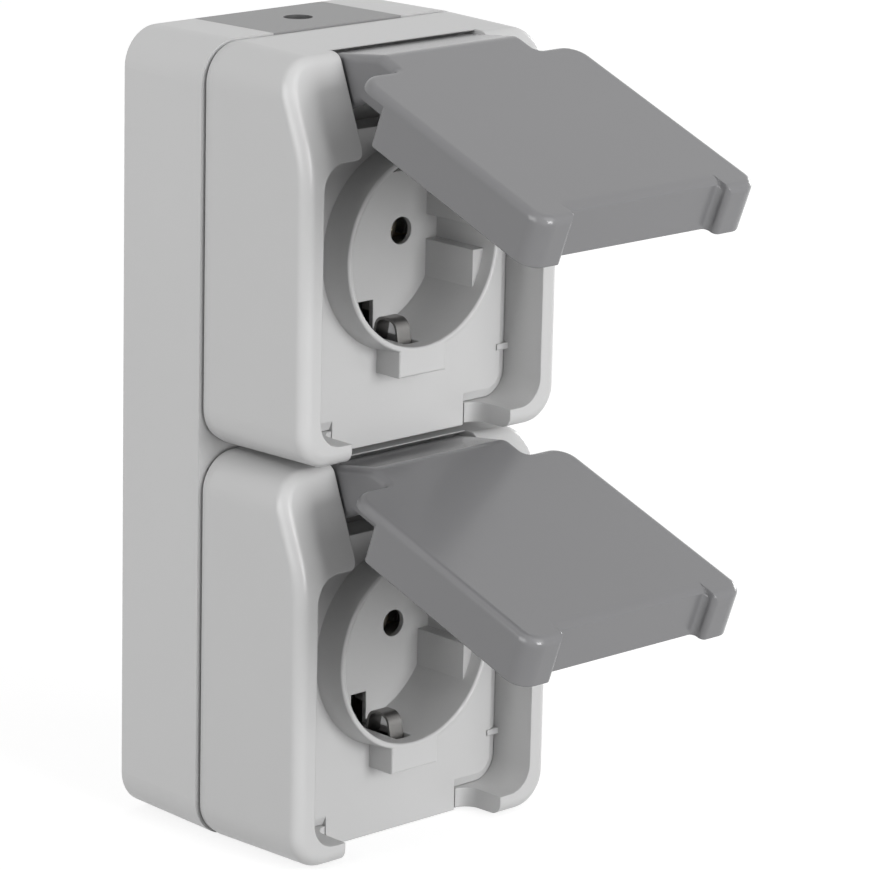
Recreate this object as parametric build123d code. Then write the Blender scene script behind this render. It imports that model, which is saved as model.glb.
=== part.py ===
from build123d import *
from math import asin, atan2, cos, hypot, radians, sin, tan
import os

# Surface-mounted outdoor socket with two gangs, one above the other, in one back box.
# X runs to the right as seen from the front, Y into the wall and Z up.
# The origin is the centre of the wall face. A depth is a distance out from the wall.
# Each gang is drawn about its well's centre, then lifted to its place.
# The sizes run outwards from the well: the plate, the frames and the box follow what they hold.

# Well and collar of the centre plate
well_radius = 19.5
well_wall = 1.4
well_depth = 17.5
floor_thick = 1.1
collar_wall = 1.9
collar_rise = 7.0
collar_draft = 5.5
collar_round = 0.5
flat_in = 3.0
flat_drop = 3.5
key_half = 2.55
pin_spacing = 19.0
pin_hole_radius = 2.85
window_half = 2.1
window_in = 6.1
window_out = 0.2
window_front_gap = 3.5
block_half = 6.35
block_drop = 3.9

# Centre plate
plate_thick = 2.2
plate_gap = 0.12
plate_top_gap = 0.7
plate_bevel_in = 2.0
plate_bevel_down = 0.9
tab_gap = 0.4
tab_rise = 3.7
tab_flange_thick = 1.8
tongue_side = 3.7
tongue_gap = 0.25

# Front frame
frame_depth = 29.7
frame_corner = 8.2
frame_wall = 2.2
frame_draft = 1.2
frame_round = 2.6
strip_long = 2.0
strip_in = 0.35
cheek_width = 5.4
foot_height = 4.6
slope_start = 0.3
slope_angle = 21.5
slope_round = 26.0
plate_side = 8.8
plate_below = 10.3
plate_drop = 10.1
rim_above_collar = 0.2
rim_corner = 5.5
rim_wall = 1.8
rim_wall_long = 2.3
ledge_in = 0.8
notch_side = 10.4
notch_corner = 1.5
lip_drop = 1.0
hook_width = 8.4
gate_corner = 3.6
nose_up = -25.1
nose_height = 1.3
nose_in = 3.2
nose_rise = 0.35
nose_clear = 0.15

# Hinge
hinge_in = 9.8
hinge_above_rim = 14.4
top_above_hinge = 6.2
barrel_clear = 0.55
room_behind_hinge = 8.0
pin_radius = 1.3
pin_clear = 0.05
pin_seat = 2.6
boss_radius = 3.6

# Seal between box and frame
seal_thick = 0.5
seal_inset = 0.7
seal_width = 1.3

# Back box
frame_step = 0.4
gang_gap = 1.2
box_depth = 24.4
box_corner = 8.5
box_wall = 2.4
box_back = 2.6
box_draft = 1.2
bar_height = 8.4
bar_thick = 2.5
bar_web = 2.4
bar_web_depth = 12.0

# Wall screw slots
slot_from_side = 10.0
slot_from_end = 23.0
slot_length = 8.0
slot_width = 4.6
slot_boss_radius = 6.5
slot_boss_height = 2.4

# Cable grommet in the top wall
grommet_width = 34.4
grommet_gap = 0.1
grommet_flange = 1.8
grommet_flange_thick = 1.3
grommet_flange_back = 3.2
nipple_radius = 3.0
nipple_depth = 1.2
nipple_forward = 12.2

# Snap arms between frame and box
arm_up = 22.0
arm_width = 8.0
arm_gap = 0.9
arm_thick = 1.5
arm_reach = 5.8
arm_root = 4.0
hook_out = 0.7
hook_thick = 1.8
catch_gap = 0.2
catch_thick = 1.4

# Contact carrier
carrier_side = 3.4
carrier_half_z = 16.5
carrier_back = 10.0
carrier_gap = 0.3
carrier_corner = 2.0
ear_x = 16.5
ear_above_carrier = 4.0
ear_radius = 4.6
ear_thick = 4.0
pocket_floor = 4.4
pocket_clear = 0.3
wire_radius = 1.9
wire_rise = 5.6

# Contacts
sleeve_radius = 3.5
sleeve_bore = 2.35
sleeve_front_gap = 3.8
sleeve_slit = 0.8
sleeve_slit_length = 9.0
strap_thick = 1.4
clamp_out = 4.1
clamp_width = 6.0
clamp_half_z = 3.6
clamp_height = 10.6
wire_hole_radius = 1.5

# Screws
terminal_head_radius = 2.8
terminal_head_height = 2.2
terminal_shank_radius = 1.7
terminal_shank_length = 7.0
carrier_head_radius = 3.3
carrier_head_height = 2.2
carrier_shank_radius = 1.5
carrier_shank_length = 9.4
screw_clear = 0.05
driver_width = 0.8
driver_depth = 0.9

# Earth bracket
strap_half_x = 3.6
strap_drop = 3.9
strap_sheet = 1.0
strap_past_clip = 0.1
clip_half = 1.8
clip_sheet = 0.6
clip_out = 1.0
clip_arch = 5.2
clip_foot = 4.4
clip_length = 7.4
clip_lean = 1.0
clip_bend = 0.8
clip_arch_bend = 2.4
earth_block_half = 3.4
earth_block_deep = 8.0

# Hinged cover, drawn shut
cover_proud = 1.0
cover_skin = 2.0
cover_wall = 1.8
cover_plate_gap = 0.45
cover_side_gap = 0.6
cover_end_gap = 1.0
cover_ear_gap = 0.5
cover_shoulder_drop = 22.7
cover_shoulder_corner = 2.0
cover_ear_corner = 5.0
cover_end_corner = 4.0
cover_edge_round = 1.7
crease_drop = 9.6
crease_round = 4.0
neck_gap = 0.8
neck_corner = 1.2
barrel_radius = 5.2
barrel_end_angle = 126.0
ear_drop = 1.3
collar_clear = 0.6
grip_side = 8.8
grip_in = 2.6
grip_corner = 1.3
grip_post_round = 1.2
scoop_long = 2.6
scoop_down = 0.8
seal_rib_thick = 1.2
seal_rib_height = 1.5
cover_seal_in = 2.8
cover_seal_out = 0.4
cover_seal_gap = 0.3
upper_open_angle = 69.1
lower_open_angle = 70.5

# Sizes across the gang and up from the well's centre
collar_radius = well_radius + collar_wall
pin_x = pin_spacing / 2
rim_half = collar_radius + plate_side
notch_half = rim_half - notch_side
gate_half = rim_half - hook_width
tongue_half = gate_half - tongue_side
block_low = collar_radius + block_drop
rim_low = -(block_low + plate_below)
rim_high = collar_radius + rim_above_collar
slope_start_up = rim_high + slope_start
plate_top = rim_high - plate_top_gap
tab_top = rim_high + tab_rise
hinge_up = rim_high + hinge_above_rim
frame_low = rim_low - foot_height
frame_high = hinge_up + top_above_hinge
frame_width = 2 * (rim_half + cheek_width)
frame_height = frame_high - frame_low
frame_lift = (frame_high + frame_low) / 2

# The box, which the two frames cover edge to edge
box_width = frame_width + 2 * frame_step
box_height = 2 * frame_height + gang_gap
box_inner_half = box_width / 2 - box_wall
gang_pitch = frame_height + gang_gap
slot_x = box_width / 2 - slot_from_side
slot_z = box_height / 2 - slot_from_end

# Depths from the wall
frame_back = box_depth + seal_thick
frame_front = frame_back + frame_depth
plate_front = frame_front - plate_drop
plate_back = plate_front - plate_thick
lip_depth = plate_front - lip_drop
rim_wall_back = plate_back - rim_wall_long
collar_front = plate_front + collar_rise
well_floor = collar_front - well_depth
floor_back = well_floor - floor_thick
carrier_front = floor_back - carrier_gap
hinge_depth = frame_front - hinge_in
notch_back = hinge_depth - room_behind_hinge
arm_back = box_depth - arm_reach
pocket_back = carrier_back + pocket_floor
wire_back = pocket_back + wire_rise
clamp_front = pocket_back + clamp_height
strap_front = floor_back - strap_drop
earth_block_back = strap_front - earth_block_deep
clip_rise = well_floor + clip_foot
clip_fall = clip_rise + clip_length

# Contacts and carrier across the gang
clamp_start = pin_x + clamp_out
clamp_end = clamp_start + clamp_width
carrier_half_x = clamp_end + carrier_side
ear_z = carrier_half_z + ear_above_carrier
clip_base = well_radius + clip_out
clip_peak = well_radius - (clip_arch - clip_out)
strap_half_z = clip_base + clip_sheet / 2 + strap_past_clip

# Cover
cover_face = frame_front + cover_proud
cover_back = plate_front + cover_plate_gap
cover_half = rim_half - cover_side_gap
cover_low = rim_low + cover_end_gap
cover_ear_top = rim_high - cover_ear_gap
cover_shoulder = hinge_up - cover_shoulder_drop
crease_up = hinge_up - crease_drop
neck_half = notch_half - neck_gap
grip_half = cover_half - grip_side
grip_end = cover_low + grip_in
cover_seal_inner = collar_radius - cover_seal_in
cover_seal_outer = collar_radius + cover_seal_out

LARGE = 200.0


def slab(outline, near, far, taper=0.0):
    """The outline, drawn across the wall, made solid from one depth to another."""
    return extrude(Plane.XZ.offset(near) * outline, amount=far - near, taper=taper)


def across(profile, half_width):
    """A side profile made solid to both sides of the middle."""
    return extrude(Plane.YZ * profile, amount=half_width, both=True)


def side_polygon(*points):
    """A closed side profile from points given as depth and height."""
    return make_face(Polyline(*[(-depth, up) for depth, up in points], close=True))


def side_circle(depth, up, radius):
    return Pos(-depth, up) * Circle(radius)


def block(x0, x1, depth0, depth1, z0, z1):
    size = Box(x1 - x0, depth1 - depth0, z1 - z0)
    return Pos((x0 + x1) / 2, -(depth0 + depth1) / 2, (z0 + z1) / 2) * size


def post(radius, x, z, near, far):
    """A round bar that stands out from the wall."""
    return slab(Pos(x, z) * Circle(radius), near, far)


def rod_x(radius, x0, x1, depth, up):
    """A round bar along X."""
    return extrude(Plane.YZ.offset(x0) * side_circle(depth, up, radius), amount=x1 - x0)


def rod_z(radius, x, depth, z0, z1):
    """A round bar along Z."""
    return extrude(Plane.XY.offset(z0) * (Pos(x, -depth) * Circle(radius)), amount=z1 - z0)


def rectangle(x0, x1, z0, z1):
    return Pos((x0 + x1) / 2, (z0 + z1) / 2) * Rectangle(x1 - x0, z1 - z0)


def rounded(width, height, radius, z=0.0):
    return Pos(0, z) * RectangleRounded(width, height, radius)


def tangent_point(point, centre, radius, side):
    """Where a line from the point touches the circle, on its left (side 1) or right (-1)."""
    dx = centre[0] - point[0]
    dz = centre[1] - point[1]
    reach = hypot(dx, dz)
    angle = atan2(dz, dx) + side * asin(radius / reach)
    length = (reach ** 2 - radius ** 2) ** 0.5
    return (point[0] + length * cos(angle), point[1] + length * sin(angle))


def both_sides(solid):
    return solid + mirror(solid, about=Plane.YZ)


# Back box: a drafted tray with a cross bar between the gangs

def box_outer():
    lost = box_depth * tan(radians(box_draft))
    back = rounded(box_width - 2 * lost, box_height - 2 * lost, box_corner - lost)
    return slab(back, 0, box_depth, taper=-box_draft)


def grommet_cut(gap):
    half = grommet_width / 2 + gap
    return block(-half, half, -1, box_depth + 1, box_height / 2 - box_wall - gap, box_height)


def carrier_ears():
    """Where a carrier's two fixing screws stand, on opposite corners."""
    return [(-ear_x, ear_z), (ear_x, -ear_z)]


def gang_heights():
    return [gang_pitch / 2 - frame_lift, -gang_pitch / 2 - frame_lift]


def back_box():
    inner = rounded(2 * box_inner_half, box_height - 2 * box_wall, box_corner - box_wall)
    tray = box_outer() - slab(inner, box_back, box_depth + 1)
    slots = Sketch()
    bosses = Sketch()
    for x in (-slot_x, slot_x):
        for z in (-slot_z, slot_z):
            slots += Pos(x, z) * SlotOverall(slot_length, slot_width)
            bosses += Pos(x, z) * Circle(slot_boss_radius)
    tray += slab(bosses, box_back - 0.5, box_back + slot_boss_height)
    tray -= slab(slots, -1, box_back + slot_boss_height + 1)
    bar_top = bar_height / 2
    reach = box_inner_half + box_wall / 2
    tray += block(-reach, reach, box_depth - bar_thick, box_depth, -bar_top, bar_top)
    tray += block(-reach, reach, bar_web_depth, box_depth, -bar_web / 2, bar_web / 2)
    for z in gang_heights():
        for ex, ez in carrier_ears():
            tray += post(ear_radius, ex, z + ez, box_back - 0.5, carrier_back)
            tray -= post(carrier_shank_radius + screw_clear, ex, z + ez, box_back + 0.8, carrier_back + 1)
        tray += arm_catches(z)
    return tray - grommet_cut(grommet_gap)


def arm_catches(z):
    """Ledges inside the box's side walls that the frame's snap arms hook behind."""
    catches = Part()
    near = arm_back + hook_thick + catch_gap
    face = box_inner_half - arm_gap + catch_gap
    for up in (-arm_up, arm_up):
        mid = z + frame_lift + up
        catches += block(face, box_inner_half + box_wall / 2, near, near + catch_thick,
                         mid - arm_width / 2, mid + arm_width / 2)
    return both_sides(catches)


def cable_grommet():
    """Soft block that fills the top wall's cut-out, flush outside, with a flange inside."""
    half = grommet_width / 2
    under = box_height / 2 - box_wall
    plug = box_outer() & block(-half, half, -1, box_depth + 1, under, box_height)
    wide = half + grommet_flange
    flange = block(-wide, wide, grommet_flange_back, box_depth, under - grommet_flange_thick, under)
    nipple = rod_z(nipple_radius, 0, nipple_forward, box_height / 2 - nipple_depth, box_height)
    return plug + flange - nipple


# Frame seal: a flat ring on the box's edge

def frame_outline(inset):
    return rounded(frame_width - 2 * inset, frame_height - 2 * inset, frame_corner - inset, frame_lift)


def frame_seal():
    ring = frame_outline(seal_inset) - frame_outline(seal_inset + seal_width)
    return slab(ring, box_depth, frame_back)


# Front frame: a shell with a rim round the plate, two sloped cheeks and two hooks below

def front_cut(inset):
    """Everything in front of the front face and of the sloping face that it rolls into."""
    front = frame_front - inset
    start = slope_start_up - inset * tan(radians(slope_angle / 2))
    reach = LARGE / 2
    above = (front - reach * tan(radians(slope_angle)), start + reach)
    outline = side_polygon((front, -reach), (front, start), above, (LARGE, above[1]), (LARGE, -reach))
    crease = [v for v in outline.vertices() if abs(v.X + front) < 0.01 and abs(v.Y - start) < 0.01]
    return across(fillet(crease, slope_round - inset), LARGE)


def frame_body(inset):
    body = slab(frame_outline(inset), frame_back, frame_front + 1, taper=frame_draft)
    return body - front_cut(inset)


def outer_front_edges(body):
    """The edges round the front and sloping faces, without the seams between them."""
    faces = [f for f in body.faces() if f.normal_at().Y < -0.5]
    middles = [(e, e.center()) for f in faces for e in f.edges()]
    return [e for e, c in middles if abs(c.X) > 0.1 or abs(c.Z - slope_start_up) > slope_round / 3]


def rim_opening(grow):
    """The outline of the plate's recess and the notch for the cover's neck above it."""
    middle = (rim_low + rim_high) / 2
    wide = rounded(2 * rim_half, rim_high - rim_low, rim_corner, middle)
    notch = rectangle(-notch_half, notch_half, middle, frame_high + 5)
    both = wide + notch
    corners = [v for v in both.vertices() if abs(abs(v.X) - notch_half) < 0.01]
    both = fillet([v for v in corners if abs(v.Y - rim_high) < 0.01], notch_corner)
    return offset(both, amount=grow) if grow else both


def hinge_space():
    """The room for the cover's barrel under the frame's lip."""
    radius = barrel_radius + barrel_clear
    room = rod_x(radius, -notch_half, notch_half, hinge_depth, hinge_up)
    room += rod_x(radius, -notch_half, notch_half, *ear_centre())
    floor = tab_top - tab_flange_thick
    return room + block(-notch_half, notch_half, notch_back, lip_depth + 0.1, floor, hinge_up)


def gate():
    """The gap between the two hooks, with coved ends."""
    tall = LARGE - plate_front
    outline = Pos(0, -(plate_front + LARGE) / 2) * Rectangle(2 * gate_half, tall)
    inner = outline.vertices().sort_by(Axis.Y)[-2:]
    outline = fillet(inner, gate_corner)
    gap = extrude(Plane.XY.offset(frame_low - 5) * outline, amount=rim_low + 1 - (frame_low - 5))
    half = tongue_half + tongue_gap
    bed = block(-half, half, plate_back - 0.1, plate_front + 0.1, frame_low - 5, rim_low + 1)
    return gap + bed


def snap_arms():
    """Four arms that reach into the box, each with a hook at its end."""
    arms = Part()
    outer = box_inner_half - arm_gap
    root = frame_width / 2 - frame_wall / 2
    for up in (-arm_up, arm_up):
        z0 = frame_lift + up - arm_width / 2
        z1 = frame_lift + up + arm_width / 2
        arms += block(outer - arm_thick, outer, arm_back, frame_back + arm_root, z0, z1)
        arms += block(outer - arm_thick, root, frame_back + 1, frame_back + arm_root, z0, z1)
        arms += block(outer - 0.1, outer + hook_out, arm_back, arm_back + hook_thick, z0, z1)
    return both_sides(arms)


def plate_noses():
    """A small nose on each of the rim's inner walls, over the plate's bevelled edge."""
    root = rim_half + 0.2
    tip = rim_half - nose_in
    bevel_start = rim_half - plate_gap - plate_bevel_in
    under = plate_front + nose_clear
    beside = under - (root - bevel_start) * plate_bevel_down / plate_bevel_in
    top = plate_front + nose_rise
    lower = [(tip, -under), (bevel_start, -under), (root, -beside)]
    outline = Polyline(*lower, (root, -top), (tip, -top), close=True)
    nose = extrude(Plane.XY.offset(nose_up - nose_height / 2) * make_face(outline), amount=nose_height)
    return both_sides(nose)


def hinge_bosses():
    """Blind seats for the hinge pin's ends, behind the notch's side walls."""
    seat = rod_x(boss_radius, notch_half, notch_half + rim_wall + pin_seat, hinge_depth, hinge_up)
    return both_sides(seat)


def pin_ends(radius):
    reach = notch_half + pin_seat
    return rod_x(radius, -reach, reach, hinge_depth, hinge_up)


def front_frame():
    body = frame_body(0)
    body = fillet(outer_front_edges(body), frame_round)
    back_edges = body.faces().sort_by(Axis.Y)[-1].edges()
    back_face = body.faces().sort_by(Axis.Y)[-1]
    body = chamfer(back_edges, length=strip_in, length2=strip_long, reference=back_face)
    hollow = frame_body(frame_wall)
    hollow += slab(frame_outline(frame_wall), frame_back - 1, frame_back + 0.5)
    walls = slab(rim_opening(rim_wall), rim_wall_back, frame_front)
    foot = rectangle(-rim_half, rim_half, frame_low, rim_low + 1)
    walls += slab(foot, rim_wall_back, frame_front)
    side = notch_half + rim_wall
    walls += block(-side, side, notch_back - rim_wall, frame_front, tab_top - tab_flange_thick, frame_high)
    walls = (walls + hinge_bosses()) & body
    frame = (body - hollow) + walls
    middle = (rim_low + rim_high) / 2
    low = rim_low + ledge_in
    ledge = rounded(2 * (rim_half - ledge_in), rim_high - low, rim_corner - ledge_in, (low + rim_high) / 2)
    frame -= slab(ledge, frame_back - 1, plate_back + 0.1)
    pocket = rounded(2 * rim_half, rim_high - rim_low, rim_corner, middle)
    pocket += rectangle(-notch_half, notch_half, middle, tab_top)
    frame -= slab(pocket, plate_back - 0.05, lip_depth + 0.1)
    frame -= slab(rim_opening(0), lip_depth, frame_front + 1)
    frame -= hinge_space()
    frame -= gate()
    return frame + snap_arms() + plate_noses() - pin_ends(pin_radius)


# Centre plate: the plate, its collar and the socket's well in one moulding

def plate_outline():
    low = rim_low + plate_gap
    half = rim_half - plate_gap
    return rounded(2 * half, plate_top - low, rim_corner - plate_gap, (plate_top + low) / 2)


def earth_windows():
    """Openings in the well's floor and wall for the earth clips, below and above."""
    front = collar_front - window_front_gap
    inside = well_radius - 1.2
    windows = Part()
    outer = collar_radius + window_out
    for side in (-1, 1):
        floor = sorted((side * (well_radius - window_in), side * outer))
        wall = sorted((side * inside, side * outer))
        windows += block(-window_half, window_half, floor_back - 1, well_floor + 0.1, *floor)
        windows += block(-window_half, window_half, well_floor, front, *wall)
    return windows


def well_flats():
    """Filled segments at the well's two sides, each with a keying groove."""
    disc = Circle(well_radius + 0.2)
    flat_half = well_radius - flat_in
    segment = disc - rectangle(-flat_half, flat_half, -LARGE, LARGE)
    segment -= rectangle(-LARGE, LARGE, -key_half, key_half)
    return slab(segment, well_floor - 0.5, collar_front - flat_drop)


def centre_plate():
    plate = slab(plate_outline(), plate_back, plate_front)
    face = plate.faces().sort_by(Axis.Y)[0]
    plate = chamfer(face.edges(), length=plate_bevel_in, length2=plate_bevel_down, reference=face)
    tab_half = notch_half - tab_gap
    plate += block(-tab_half, tab_half, plate_back, plate_front, plate_top - 3, tab_top)
    under = tab_top - tab_flange_thick
    plate += block(-tab_half, tab_half, notch_back + tab_gap, plate_front, under, tab_top)
    plate += block(-tongue_half, tongue_half, plate_back, plate_front, frame_low, rim_low + 3)
    collar = post(collar_radius, 0, 0, plate_back, plate_front)
    collar += slab(Circle(collar_radius), plate_front, collar_front, taper=collar_draft)
    collar += post(well_radius + well_wall, 0, 0, floor_back, plate_back + 0.1)
    collar += block(-block_half, block_half, plate_back, collar_front, -block_low, -collar_radius + 3)
    plate += collar
    plate -= post(well_radius, 0, 0, well_floor, collar_front + 1)
    mouth = plate.faces().sort_by(Axis.Y)[0].edges()
    plate = fillet(mouth, collar_round)
    plate += well_flats()
    for x in (-pin_x, pin_x):
        plate -= post(pin_hole_radius, x, 0, floor_back - 1, well_floor + 1)
    return plate - earth_windows()


# Contact carrier: the insulating block behind the well

def contact_pocket(clear):
    reach = sleeve_radius + clear
    lobe = Pos(pin_x, 0) * Circle(reach)
    arm = rectangle(pin_x, clamp_end + clear, -reach, reach)
    room = rectangle(clamp_start - clear, clamp_end + clear, -clamp_half_z - clear, clamp_half_z + clear)
    return lobe + arm + room


def contact_carrier():
    outline = RectangleRounded(2 * carrier_half_x, 2 * carrier_half_z, carrier_corner)
    carrier = slab(outline, carrier_back, carrier_front)
    for x, z in carrier_ears():
        ear = Pos(x, z) * Circle(ear_radius)
        ear += rectangle(x - ear_radius, x + ear_radius, *sorted((z, z * 0.5)))
        carrier += slab(ear, carrier_back, carrier_back + ear_thick)
    hole = carrier_shank_radius + screw_clear
    for x, z in carrier_ears():
        carrier -= post(hole, x, z, carrier_back - 1, carrier_back + ear_thick + 1)
    pocket = slab(contact_pocket(pocket_clear), pocket_back, carrier_front + 1)
    reach = carrier_half_z + 1
    pocket += rod_z(wire_radius, (clamp_start + clamp_end) / 2, wire_back, -reach, reach)
    carrier -= both_sides(pocket)
    clear = strap_half_x + pocket_clear
    carrier -= block(-clear, clear, strap_front - strap_sheet, carrier_front + 1, -LARGE, LARGE)
    room = earth_block_half + pocket_clear
    carrier -= block(-room, room, earth_block_back - pocket_clear, strap_front, -room, room)
    return carrier - rod_z(wire_radius, 0, (earth_block_back + strap_front) / 2 - 1, 0, carrier_half_z + 1)


def carrier_screws():
    """The two screws that hold a carrier down on the box's bosses."""
    screws = Part()
    seat = carrier_back + ear_thick
    for x, z in carrier_ears():
        screws += screw(x, z, seat, carrier_head_radius, carrier_head_height,
                        carrier_shank_radius, carrier_shank_length)
    return screws


def screw(x, z, seat, head_radius, head_height, shank_radius, shank_length):
    """A pan-head screw with a slot, its head on the seat and its shank towards the wall."""
    one = post(head_radius, x, z, seat, seat + head_height)
    one += post(shank_radius, x, z, seat - shank_length, seat)
    top = seat + head_height
    cut = block(x - driver_width / 2, x + driver_width / 2, top - driver_depth, top + 1,
                z - head_radius - 1, z + head_radius + 1)
    return one - cut


# Live parts

def pin_contact():
    """A split sleeve for the plug's pin, joined by a strap to its wire clamp."""
    sleeve_front = carrier_front - sleeve_front_gap
    contact = post(sleeve_radius, pin_x, 0, pocket_back, sleeve_front)
    strap = rectangle(pin_x, clamp_end, -sleeve_radius, sleeve_radius)
    contact += slab(strap, pocket_back, pocket_back + strap_thick)
    clamp = rectangle(clamp_start, clamp_end, -clamp_half_z, clamp_half_z)
    contact += slab(clamp, pocket_back, clamp_front)
    contact -= post(sleeve_bore, pin_x, 0, pocket_back + strap_thick, sleeve_front + 1)
    slit = rectangle(pin_x - sleeve_slit / 2, pin_x + sleeve_slit / 2, -LARGE, LARGE)
    contact -= slab(slit, sleeve_front - sleeve_slit_length, sleeve_front + 1)
    middle = (clamp_start + clamp_end) / 2
    contact -= rod_z(wire_hole_radius, middle, wire_back, -clamp_half_z - 1, clamp_half_z + 1)
    return contact - post(terminal_shank_radius + screw_clear, middle, 0,
                          clamp_front - terminal_shank_length, clamp_front + 1)


def terminal_screws():
    """The two clamp screws of the pin contacts and the earth terminal's screw."""
    middle = (clamp_start + clamp_end) / 2
    places = [(-middle, clamp_front), (middle, clamp_front), (0, strap_front)]
    screws = Part()
    for x, seat in places:
        screws += screw(x, 0, seat, terminal_head_radius, terminal_head_height,
                        terminal_shank_radius, terminal_shank_length)
    return screws


def earth_clip():
    """One spring clip: a strip that runs forward in its window and arches into the well."""
    middle = strap_front - strap_sheet / 2
    line = FilletPolyline((-middle, -clip_base), (-clip_rise, -clip_base),
                          (-clip_rise - clip_lean, -clip_peak), (-clip_fall + clip_lean, -clip_peak),
                          (-clip_fall, -clip_base), radius=[clip_bend, clip_arch_bend, clip_arch_bend])
    return across(trace(line, clip_sheet), clip_half)


def earth_bracket():
    """A cross strap behind the well with a clip at each end and the earth terminal."""
    strap = block(-strap_half_x, strap_half_x, strap_front - strap_sheet, strap_front,
                  -strap_half_z, strap_half_z)
    bracket = strap + earth_clip() + mirror(earth_clip(), about=Plane.XY)
    half = earth_block_half
    bracket += block(-half, half, earth_block_back, strap_front, -half, half)
    bracket -= rod_z(wire_hole_radius, 0, (earth_block_back + strap_front) / 2 - 1, -half - 1, half + 1)
    return bracket - post(terminal_shank_radius + screw_clear, 0, 0,
                          strap_front - terminal_shank_length, strap_front + 1)


# Hinge pin: a steel rod through the cover's two ears

def hinge_pin():
    return pin_ends(pin_radius)


# Hinged cover, drawn shut: a deep lid with a narrow neck that curls round the hinge

def ear_centre():
    """The middle of a hinge ear's round end, a little behind the pin when the cover is shut."""
    turn = radians(-upper_open_angle - 90)
    return (hinge_depth + ear_drop * cos(turn), hinge_up + ear_drop * sin(turn))


def neck_touch():
    """Where the neck's flat face meets the barrel, and the direction that it faces there."""
    hinge = (hinge_depth, hinge_up)
    touch = tangent_point((cover_face, crease_up), hinge, barrel_radius, -1)
    return touch, ((touch[0] - hinge[0]) / barrel_radius, (touch[1] - hinge[1]) / barrel_radius)


def full_profile():
    """The cover's whole depth seen from the side, with the hinge ears."""
    hinge = (hinge_depth, hinge_up)
    ear = ear_centre()
    low = (cover_back, crease_up)
    rear = tangent_point(low, ear, barrel_radius, 1)
    side = atan2(ear[1] - hinge[1], ear[0] - hinge[0]) - radians(90)
    over = [(x + barrel_radius * cos(side), z + barrel_radius * sin(side)) for x, z in (hinge, ear)]
    front = [(cover_face, cover_low), (cover_face, crease_up), neck_touch()[0]]
    outline = side_polygon(*front, hinge, *over, ear, rear, low, (cover_back, cover_low))
    corner = [v for v in outline.vertices() if abs(v.X + cover_face) < 0.01 and abs(v.Y - crease_up) < 0.01]
    outline = fillet(corner, crease_round)
    return outline + side_circle(*hinge, barrel_radius) + side_circle(*ear, barrel_radius)


def hollow_profile():
    """What is open behind the skin, seen from the side: face, neck and the curl over the hinge."""
    hinge = (hinge_depth, hinge_up)
    touch, out = neck_touch()
    inner = (touch[0] - cover_skin * out[0], touch[1] - cover_skin * out[1])
    inside = cover_face - cover_skin
    share = (inside - inner[0]) / (cover_face - touch[0])
    bend = (inside, inner[1] + share * (crease_up - touch[1]))
    back = hinge_depth - 3 * barrel_radius
    low = cover_low - 5
    behind = side_polygon((inside, low), bend, inner, hinge, (back, hinge_up), (back, low))
    end = radians(barrel_end_angle)
    reach = 3 * barrel_radius
    above = side_polygon(hinge, (hinge[0] + reach * cos(end), hinge[1] + reach * sin(end)),
                         (back, hinge_up + reach), (back, hinge_up))
    return behind + above + side_circle(*hinge, barrel_radius - cover_skin)


def plan(top, corner_top):
    """The cover's outline from the front: the wide part up to the ears, then the neck."""
    wide = rectangle(-cover_half, cover_half, cover_low, top)
    ends = wide.vertices().sort_by(Axis.Y)
    wide = fillet(ends[:2], cover_end_corner)
    wide = fillet(wide.vertices().sort_by(Axis.Y)[-2:], corner_top)
    both = wide + rectangle(-neck_half, neck_half, 0, hinge_up + 2 * barrel_radius)
    inside = [v for v in both.vertices() if abs(abs(v.X) - neck_half) < 0.01 and abs(v.Y - top) < 0.01]
    return fillet(inside, neck_corner)


def inner_plan():
    """What is open between the skirt's walls, seen from the front."""
    half = cover_half - cover_wall
    inner = rectangle(-half, half, cover_low + cover_wall, cover_shoulder - cover_wall)
    inner = fillet(inner.vertices().sort_by(Axis.Y)[:2], cover_end_corner - cover_wall)
    narrow = neck_half - cover_wall
    return inner + rectangle(-narrow, narrow, 0, LARGE)


def under_ears():
    """What is open beside the neck, under the skin's two upper corners."""
    top = cover_ear_top + 2 * neck_corner
    around = rectangle(-LARGE, LARGE, cover_shoulder - 2 * cover_shoulder_corner, top)
    return slab(around - plan(cover_shoulder, cover_shoulder_corner), 0, cover_face - cover_skin)


def outer_edges(cover):
    """The edges round the face, the neck and the barrel, without the seams between those."""
    faces = [f for f in cover.faces() if f.normal_at().Y < -0.1 and abs(f.normal_at().X) < 0.01]
    edges = [e for f in faces for e in f.edges()]
    return [e for e in edges if abs(e.center().X) > 0.1 or e.center().Z < 0]


def grip():
    """The finger grip: the middle of the free end, set back with S-shaped corners and scooped."""
    end = rectangle(-LARGE, LARGE, cover_low, LARGE)
    end -= rectangle(-grip_half, grip_half, cover_low - 1, grip_end)
    posts = [v for v in end.vertices() if abs(abs(v.X) - grip_half) < 0.01 and v.Y < cover_low + 0.01]
    end = fillet(posts, grip_post_round)
    corners = [v for v in end.vertices() if abs(abs(v.X) - grip_half) < 0.01 and v.Y > grip_end - 0.01]
    end = fillet(corners, grip_corner)
    reach = grip_half + 2 * grip_post_round
    notch = rectangle(-reach, reach, cover_low - 5, grip_end + 1) - end
    radius = (scoop_long ** 2 + scoop_down ** 2) / (2 * scoop_down)
    top = grip_end + scoop_long
    ramp = side_polygon((cover_face + 1, cover_low - 5), (cover_face + 1, top), (cover_face - radius, top),
                        (cover_face - radius, cover_low - 5))
    ramp -= side_circle(cover_face - radius, top, radius)
    ends = slab(rectangle(-LARGE, LARGE, cover_low - 5, top), cover_face - 2 * scoop_down, LARGE)
    ramp = across(ramp, grip_half) & ends
    return slab(notch, 0, LARGE) + ramp


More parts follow.
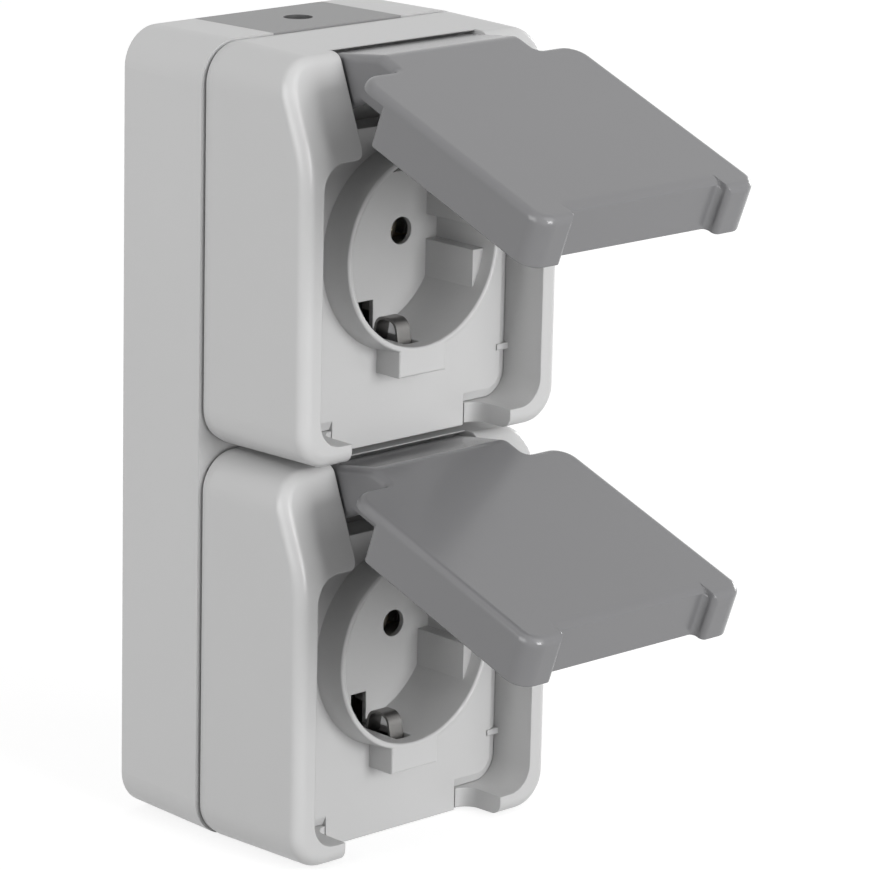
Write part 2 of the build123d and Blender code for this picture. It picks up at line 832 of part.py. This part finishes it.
def grip_wall():
    """The end wall behind the grip."""
    half = grip_half + cover_wall
    outline = rectangle(-half, half, cover_low, grip_end + cover_wall)
    outline = fillet(outline.vertices().sort_by(Axis.Y)[-2:], grip_corner + cover_wall)
    return slab(outline, cover_back, cover_face - cover_edge_round)


def cover_shut():
    cover = across(full_profile(), LARGE) & slab(plan(cover_ear_top, cover_ear_corner), 0, LARGE)
    cover = fillet(outer_edges(cover), cover_edge_round)
    cover -= across(hollow_profile(), LARGE) & slab(inner_plan(), 0, LARGE)
    cover -= under_ears()
    cover += grip_wall()
    cover -= post(collar_radius + collar_clear, 0, 0, 0, cover_face - cover_skin)
    rib = Circle(cover_seal_outer + seal_rib_thick) - Circle(cover_seal_outer)
    half = cover_half - cover_wall
    rib &= rectangle(-half, half, cover_low + 3, cover_shoulder - cover_wall)
    inside = cover_face - cover_skin
    cover += slab(rib, inside - seal_rib_height, inside + 0.5)
    cover -= grip()
    return cover - pin_ends(pin_radius + pin_clear)


def cover_seal():
    """A soft ring inside the cover that faces the collar's rim when the cover is shut."""
    ring = Circle(cover_seal_outer) - Circle(cover_seal_inner)
    return slab(ring, collar_front + cover_seal_gap, cover_face - cover_skin)


def swing(solid, angle):
    """Turns a piece about the hinge from shut to open."""
    axis = Axis((0, -hinge_depth, hinge_up), (-1, 0, 0))
    return solid.rotate(axis, angle)


def gang_pieces(open_angle):
    contact = pin_contact()
    return {
        "front_frame": front_frame(),
        "frame_seal": frame_seal(),
        "centre_plate": centre_plate(),
        "contact_carrier": contact_carrier(),
        "carrier_screws": carrier_screws(),
        "line_contact": contact,
        "neutral_contact": mirror(contact, about=Plane.YZ),
        "terminal_screws": terminal_screws(),
        "earth_bracket": earth_bracket(),
        "hinge_pin": hinge_pin(),
        "hinged_cover": swing(cover_shut(), open_angle),
        "cover_seal": swing(cover_seal(), open_angle),
    }


parts = {"back_box": back_box(), "cable_grommet": cable_grommet()}
gangs = zip(("upper", "lower"), gang_heights(), (upper_open_angle, lower_open_angle))
for name, height, open_angle in gangs:
    for piece, solid in gang_pieces(open_angle).items():
        parts[f"{name}_{piece}"] = Pos(0, 0, height) * solid

os.makedirs("parts", exist_ok=True)
for name, solid in parts.items():
    export_step(solid, f"parts/{name}.step")
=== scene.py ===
import math

import bmesh
import bpy
from mathutils import Matrix, Vector


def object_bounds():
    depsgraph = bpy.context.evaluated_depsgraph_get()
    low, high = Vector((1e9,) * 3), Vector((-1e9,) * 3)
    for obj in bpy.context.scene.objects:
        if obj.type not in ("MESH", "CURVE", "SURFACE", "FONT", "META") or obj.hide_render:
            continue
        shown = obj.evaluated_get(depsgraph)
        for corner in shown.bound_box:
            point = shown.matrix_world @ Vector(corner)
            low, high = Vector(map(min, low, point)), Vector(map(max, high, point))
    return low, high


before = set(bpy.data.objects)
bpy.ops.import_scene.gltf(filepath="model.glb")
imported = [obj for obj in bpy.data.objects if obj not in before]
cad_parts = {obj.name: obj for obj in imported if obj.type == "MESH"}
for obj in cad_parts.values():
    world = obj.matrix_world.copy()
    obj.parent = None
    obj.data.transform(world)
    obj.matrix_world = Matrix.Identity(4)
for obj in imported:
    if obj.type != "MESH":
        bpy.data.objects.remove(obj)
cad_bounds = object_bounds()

scene = bpy.context.scene

# Camera: a long lens a metre away, to the left of the socket and a little above it,
# so that the box's left side and top show and the verticals stay almost parallel.
VIEW_AZIMUTH = math.radians(-43.43)
VIEW_HEIGHT = math.radians(14.80)
VIEW_ROLL = math.radians(1.24)
VIEW_DISTANCE = 0.9759
AIM = Vector((0.0, -0.035, 0.0))
AIM_RIGHT = 0.01403
AIM_UP = -0.00021
LENS = 197.46
SENSOR_WIDTH = 36.0
NEAREST_SEEN = 0.01
FARTHEST_SEEN = 20.0

back = Vector((math.sin(VIEW_AZIMUTH) * math.cos(VIEW_HEIGHT),
               -math.cos(VIEW_AZIMUTH) * math.cos(VIEW_HEIGHT),
               math.sin(VIEW_HEIGHT)))
level = Vector((math.cos(VIEW_AZIMUTH), math.sin(VIEW_AZIMUTH), 0.0))
upright = back.cross(level)
right = math.cos(VIEW_ROLL) * level + math.sin(VIEW_ROLL) * upright
up = math.cos(VIEW_ROLL) * upright - math.sin(VIEW_ROLL) * level
stand = AIM + AIM_RIGHT * level + AIM_UP * upright + VIEW_DISTANCE * back
camera = bpy.data.objects.new("camera", bpy.data.cameras.new("camera"))
camera.data.lens = LENS
camera.data.sensor_width = SENSOR_WIDTH
camera.data.clip_start = NEAREST_SEEN
camera.data.clip_end = FARTHEST_SEEN
camera.matrix_world = Matrix.Translation(stand) @ Matrix((right, up, back)).transposed().to_4x4()
scene.collection.objects.link(camera)
scene.camera = camera
scene.view_settings.view_transform = "Standard"

# Sky: soft white light from all round, stronger from above than from below.
# A ray that looks at it sees plain white.
SKY_ABOVE = 0.4
SKY_BELOW = 0.10
FULL_ABOVE = 0.8
FULL_BELOW = -0.6
WHITE = (1, 1, 1, 1)


def seen_directly(tree):
    """1 for a ray that looks at the backdrop, straight, by a reflection or through glass."""
    rays = tree.nodes.new("ShaderNodeLightPath")
    total = rays.outputs["Is Camera Ray"]
    for kind in ("Is Glossy Ray", "Is Transmission Ray"):
        either = tree.nodes.new("ShaderNodeMath")
        either.operation = "MAXIMUM"
        tree.links.new(total, either.inputs[0])
        tree.links.new(rays.outputs[kind], either.inputs[1])
        total = either.outputs[0]
    return total


def show_apart(tree, lighting, seen, output):
    """Ends a tree: a ray that looks at it gets the seen shader, all others the lighting one."""
    mixed = tree.nodes.new("ShaderNodeMixShader")
    out = tree.nodes.new(output)
    tree.links.new(seen_directly(tree), mixed.inputs[0])
    tree.links.new(lighting.outputs[0], mixed.inputs[1])
    tree.links.new(seen.outputs[0], mixed.inputs[2])
    tree.links.new(mixed.outputs[0], out.inputs[0])


def studio_sky():
    world = bpy.data.worlds.new("studio")
    world.use_nodes = True
    tree = world.node_tree
    tree.nodes.clear()
    direction = tree.nodes.new("ShaderNodeTexCoord")
    split = tree.nodes.new("ShaderNodeSeparateXYZ")
    height = tree.nodes.new("ShaderNodeMapRange")
    height.inputs["From Min"].default_value = FULL_BELOW
    height.inputs["From Max"].default_value = FULL_ABOVE
    height.inputs["To Min"].default_value = SKY_BELOW
    height.inputs["To Max"].default_value = SKY_ABOVE
    light = tree.nodes.new("ShaderNodeBackground")
    light.inputs["Color"].default_value = WHITE
    backdrop = tree.nodes.new("ShaderNodeBackground")
    backdrop.inputs["Color"].default_value = WHITE
    tree.links.new(direction.outputs["Generated"], split.inputs[0])
    tree.links.new(split.outputs["Z"], height.inputs["Value"])
    tree.links.new(height.outputs[0], light.inputs["Strength"])
    show_apart(tree, light, backdrop, "ShaderNodeOutputWorld")
    return world


scene.world = studio_sky()

# Lamps: a broad key from the front and above, a low lamp in front that reaches into
# the wells, and a fill at each side. The right fill keeps clear of the covers' mirror line.
LIT_MIDDLE = Vector((0.0, -0.04, 0.0))


def softbox(name, watts, size, spot):
    """A square lamp at the spot, turned towards the socket."""
    lamp = bpy.data.lights.new(name, "AREA")
    lamp.energy = watts
    lamp.size = size
    holder = bpy.data.objects.new(name, lamp)
    turn = (Vector(spot) - LIT_MIDDLE).to_track_quat("Z", "Y")
    holder.matrix_world = Matrix.Translation(spot) @ turn.to_matrix().to_4x4()
    scene.collection.objects.link(holder)


softbox("key", watts=8.5, size=1.3, spot=(0.35, -1.4, 1.1))
softbox("front", watts=20.0, size=0.75, spot=(0.12, -1.75, 0.3))
softbox("left", watts=16.0, size=1.2, spot=(-1.62, -0.02, 0.55))
softbox("right", watts=9.0, size=0.55, spot=(1.6, 0.25, 0.22))

# Sweep: the white paper that the socket stands on. It lights the socket from below as
# pale grey paper would, and looks white apart from the socket's shadow.
SWEEP_SIZE = 3.0
SWEEP_DROP = 0.0002
PAPER_BOUNCE = (0.45, 0.45, 0.45, 1)
PAPER_SHADOW = (0.32, 0.32, 0.32, 1)
PAPER_GLOW = 0.8


def white_paper():
    material = bpy.data.materials.new("white_paper")
    material.use_nodes = True
    tree = material.node_tree
    tree.nodes.clear()
    pale = tree.nodes.new("ShaderNodeBsdfDiffuse")
    pale.inputs["Color"].default_value = PAPER_BOUNCE
    lit = tree.nodes.new("ShaderNodeBsdfDiffuse")
    lit.inputs["Color"].default_value = PAPER_SHADOW
    glow = tree.nodes.new("ShaderNodeEmission")
    glow.inputs["Strength"].default_value = PAPER_GLOW
    shown = tree.nodes.new("ShaderNodeAddShader")
    tree.links.new(lit.outputs[0], shown.inputs[0])
    tree.links.new(glow.outputs[0], shown.inputs[1])
    show_apart(tree, pale, shown, "ShaderNodeOutputMaterial")
    return material


sweep_mesh = bmesh.new()
bmesh.ops.create_grid(sweep_mesh, x_segments=1, y_segments=1, size=SWEEP_SIZE)
bmesh.ops.translate(sweep_mesh, verts=sweep_mesh.verts, vec=(0, 0, cad_bounds[0][2] - SWEEP_DROP))
sweep_data = bpy.data.meshes.new("sweep")
sweep_mesh.to_mesh(sweep_data)
sweep_mesh.free()
sweep_data.materials.append(white_paper())
sweep = bpy.data.objects.new("sweep", sweep_data)
scene.collection.objects.link(sweep)

# Back box: one drafted tray moulded in light grey plastic, with a fine spark texture.
# It is screwed to the wall through its back.
FLOW_MARKS_PER_METRE = 22.0
FLOW_DETAIL = 3.0
SPARK_DETAIL = 2.0
PLASTIC_ROUGH_SPREAD = 0.03
EDGE_SAMPLES = 6


def noise(material, per_metre, detail, stretch=(1.0, 1.0, 1.0)):
    """A noise that stays fixed to the piece, drawn out along any axis with a stretch under 1."""
    nodes = material.node_tree.nodes
    links = material.node_tree.links
    place = nodes.new("ShaderNodeTexCoord")
    drawn_out = nodes.new("ShaderNodeMapping")
    drawn_out.inputs["Scale"].default_value = stretch
    pattern = nodes.new("ShaderNodeTexNoise")
    pattern.inputs["Scale"].default_value = per_metre
    pattern.inputs["Detail"].default_value = detail
    links.new(place.outputs["Object"], drawn_out.inputs["Vector"])
    links.new(drawn_out.outputs[0], pattern.inputs["Vector"])
    return pattern.outputs["Fac"]


def vary(material, pattern, dark, light, rough, spread):
    """Lets a pattern shift the colour from dark to light and the roughness by its spread."""
    nodes = material.node_tree.nodes
    links = material.node_tree.links
    surface = nodes["Principled BSDF"]
    tint = nodes.new("ShaderNodeMix")
    tint.data_type = "RGBA"
    tint.inputs["A"].default_value = tuple(dark) + (1,)
    tint.inputs["B"].default_value = tuple(light) + (1,)
    polish = nodes.new("ShaderNodeMapRange")
    polish.inputs["To Min"].default_value = rough - spread
    polish.inputs["To Max"].default_value = rough + spread
    links.new(pattern, tint.inputs["Factor"])
    links.new(pattern, polish.inputs["Value"])
    links.new(tint.outputs["Result"], surface.inputs["Base Color"])
    links.new(polish.outputs[0], surface.inputs["Roughness"])


def finish(material, pattern, depth, edge):
    """Raises a pattern on the surface, whose edges look rounded to the edge's radius."""
    nodes = material.node_tree.nodes
    links = material.node_tree.links
    rounded = nodes.new("ShaderNodeBevel")
    rounded.samples = EDGE_SAMPLES
    rounded.inputs["Radius"].default_value = edge
    raised = nodes.new("ShaderNodeBump")
    raised.inputs["Distance"].default_value = depth
    links.new(pattern, raised.inputs["Height"])
    links.new(rounded.outputs["Normal"], raised.inputs["Normal"])
    links.new(raised.outputs["Normal"], nodes["Principled BSDF"].inputs["Normal"])


def moulded_plastic(name, colour, rough, grain=0.00045, depth=0.000012, shade=0.025,
                    edge=0.0003, gloss=0.5):
    """Injection-moulded plastic with a spark texture, faint flow shades and softened edges."""
    material = bpy.data.materials.new(name)
    material.use_nodes = True
    material.node_tree.nodes["Principled BSDF"].inputs["Specular IOR Level"].default_value = gloss
    flow = noise(material, FLOW_MARKS_PER_METRE, FLOW_DETAIL)
    dark = [c * (1 - shade) for c in colour]
    light = [c * (1 + shade) for c in colour]
    vary(material, flow, dark, light, rough, PLASTIC_ROUGH_SPREAD)
    finish(material, noise(material, 1.0 / grain, SPARK_DETAIL), depth, edge)
    return material


def dress(node, material):
    """Gives a CAD node its material."""
    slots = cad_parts[node].data.materials
    slots.clear()
    slots.append(material)


dress("back_box", moulded_plastic("box_plastic", colour=(0.555, 0.555, 0.555), rough=0.34))

# Cable grommet: a soft dark grey block in the box's top wall, matt and a little uneven.
# Its round dimple is painted darker, as painted shade in its hollow. It is the thin place that is cut
# open for the cable.
DIMPLE_RADIUS = 0.003
DIMPLE_FROM_WALL = 0.0122
DIMPLE_FADE = 1.04
# The dimple's grey is painted shade for its hollow, not a different rubber.
DIMPLE_PAINTED_SHADE = (0.075, 0.075, 0.076)


def paint_dimple_shade(material):
    """Paints shade into a material within the dimple's circle, which is drawn on the top wall."""
    nodes = material.node_tree.nodes
    links = material.node_tree.links
    place = nodes.new("ShaderNodeTexCoord")
    flat = nodes.new("ShaderNodeMapping")
    flat.inputs["Location"].default_value = (0.0, DIMPLE_FROM_WALL, 0.0)
    flat.inputs["Scale"].default_value = (1.0, 1.0, 0.0)
    away = nodes.new("ShaderNodeVectorMath")
    away.operation = "LENGTH"
    inside = nodes.new("ShaderNodeMapRange")
    inside.inputs["From Min"].default_value = DIMPLE_RADIUS
    inside.inputs["From Max"].default_value = DIMPLE_RADIUS * DIMPLE_FADE
    inside.inputs["To Min"].default_value = 1.0
    inside.inputs["To Max"].default_value = 0.0
    # This mix paints the shade of the dimple's hollow.
    painted_shade = nodes.new("ShaderNodeMix")
    painted_shade.data_type = "RGBA"
    painted_shade.inputs["B"].default_value = DIMPLE_PAINTED_SHADE + (1,)
    colour = nodes["Principled BSDF"].inputs["Base Color"]
    links.new(place.outputs["Object"], flat.inputs["Vector"])
    links.new(flat.outputs[0], away.inputs[0])
    links.new(away.outputs["Value"], inside.inputs["Value"])
    links.new(inside.outputs[0], painted_shade.inputs["Factor"])
    links.new(colour.links[0].from_socket, painted_shade.inputs["A"])
    links.new(painted_shade.outputs["Result"], colour)


grommet_rubber = moulded_plastic("grommet_rubber", colour=(0.275, 0.275, 0.277), rough=0.5,
                                 grain=0.0006, depth=0.00003, shade=0.06)
# Painted shade darkens the dimple's hollow.
paint_dimple_shade(grommet_rubber)
dress("cable_grommet", grommet_rubber)

# Frame seals: thin dark rings that lie between the box and each frame.
# They show only as a dark line in the joint.
GANGS = ("upper", "lower")


def dress_gangs(piece, material):
    """Gives a piece its material in both gangs."""
    for gang in GANGS:
        dress(f"{gang}_{piece}", material)


seal_rubber = moulded_plastic("seal_rubber", colour=(0.05, 0.05, 0.052), rough=0.7,
                              grain=0.0005, depth=0.00003, gloss=0.3)
dress_gangs("frame_seal", seal_rubber)

# Front frames: the moulded shells with their rims, sloped cheeks and hooks.
# They are snapped on to the box and carry the hinge pins.
dress_gangs("front_frame", moulded_plastic("frame_plastic", colour=(0.53, 0.53, 0.53), rough=0.31,
                                           depth=0.000008, edge=0.0004))

# Centre plates: plate, collar and well in one moulding, a little lighter than the frames.
# Each slides up under the frame's rim.
dress_gangs("centre_plate", moulded_plastic("plate_plastic", colour=(0.55, 0.55, 0.55), rough=0.32,
                                            depth=0.000008))

# Contact carriers: insulating blocks behind the wells, in a darker matt plastic.
# They hold the live parts and are screwed down on the box's bosses.
dress_gangs("contact_carrier", moulded_plastic("carrier_plastic", colour=(0.45, 0.45, 0.44), rough=0.5))

# Pin contacts: split sleeves with wire clamps, pressed from plated brass sheet.
# They stand behind the pin holes in the well's floor.
METAL_SHADE = 0.88
METAL_ROUGH_SPREAD = 0.08
STREAK_DETAIL = 3.0
STREAK_STRETCH = (1.0, 0.08, 1.0)
STREAK_DEPTH = 0.000008
METAL_EDGE = 0.00015


def metal(name, colour, rough, streak=0.0006):
    """Bare or plated metal with fine drawn streaks that run out from the wall."""
    material = bpy.data.materials.new(name)
    material.use_nodes = True
    material.node_tree.nodes["Principled BSDF"].inputs["Metallic"].default_value = 1.0
    drawn = noise(material, 1.0 / streak, STREAK_DETAIL, STREAK_STRETCH)
    vary(material, drawn, [c * METAL_SHADE for c in colour], colour, rough, METAL_ROUGH_SPREAD)
    finish(material, drawn, STREAK_DEPTH, METAL_EDGE)
    return material


plated_brass = metal("plated_brass", colour=(0.66, 0.62, 0.52), rough=0.42)
dress_gangs("line_contact", plated_brass)
dress_gangs("neutral_contact", plated_brass)

# Earth brackets: dull spring steel, one strap with two clips bent up into the well.
# They touch the plug's side contacts first.
dress_gangs("earth_bracket", metal("spring_steel", colour=(0.22, 0.216, 0.21), rough=0.37))

# Screws and hinge pins: zinc-plated steel. The screws hold the wires and the carriers,
# and each pin carries a cover between the frame's cheeks.
zinc_plate = metal("zinc_plate", colour=(0.6, 0.6, 0.58), rough=0.37, streak=0.0004)
for piece in ("terminal_screws", "carrier_screws", "hinge_pin"):
    dress_gangs(piece, zinc_plate)

# Hinged covers: deep lids moulded in mid grey plastic, smoother and glossier than the frames.
# Each turns on its pin and carries a soft ring inside.
dress_gangs("hinged_cover", moulded_plastic("cover_plastic", colour=(0.18, 0.18, 0.185), rough=0.2,
                                            depth=0.000004, shade=0.03, edge=0.0004))

# Cover seals: dark rubber rings set in the covers, which close the wells when the covers
# are shut. They ride with the covers.
dress_gangs("cover_seal", seal_rubber)
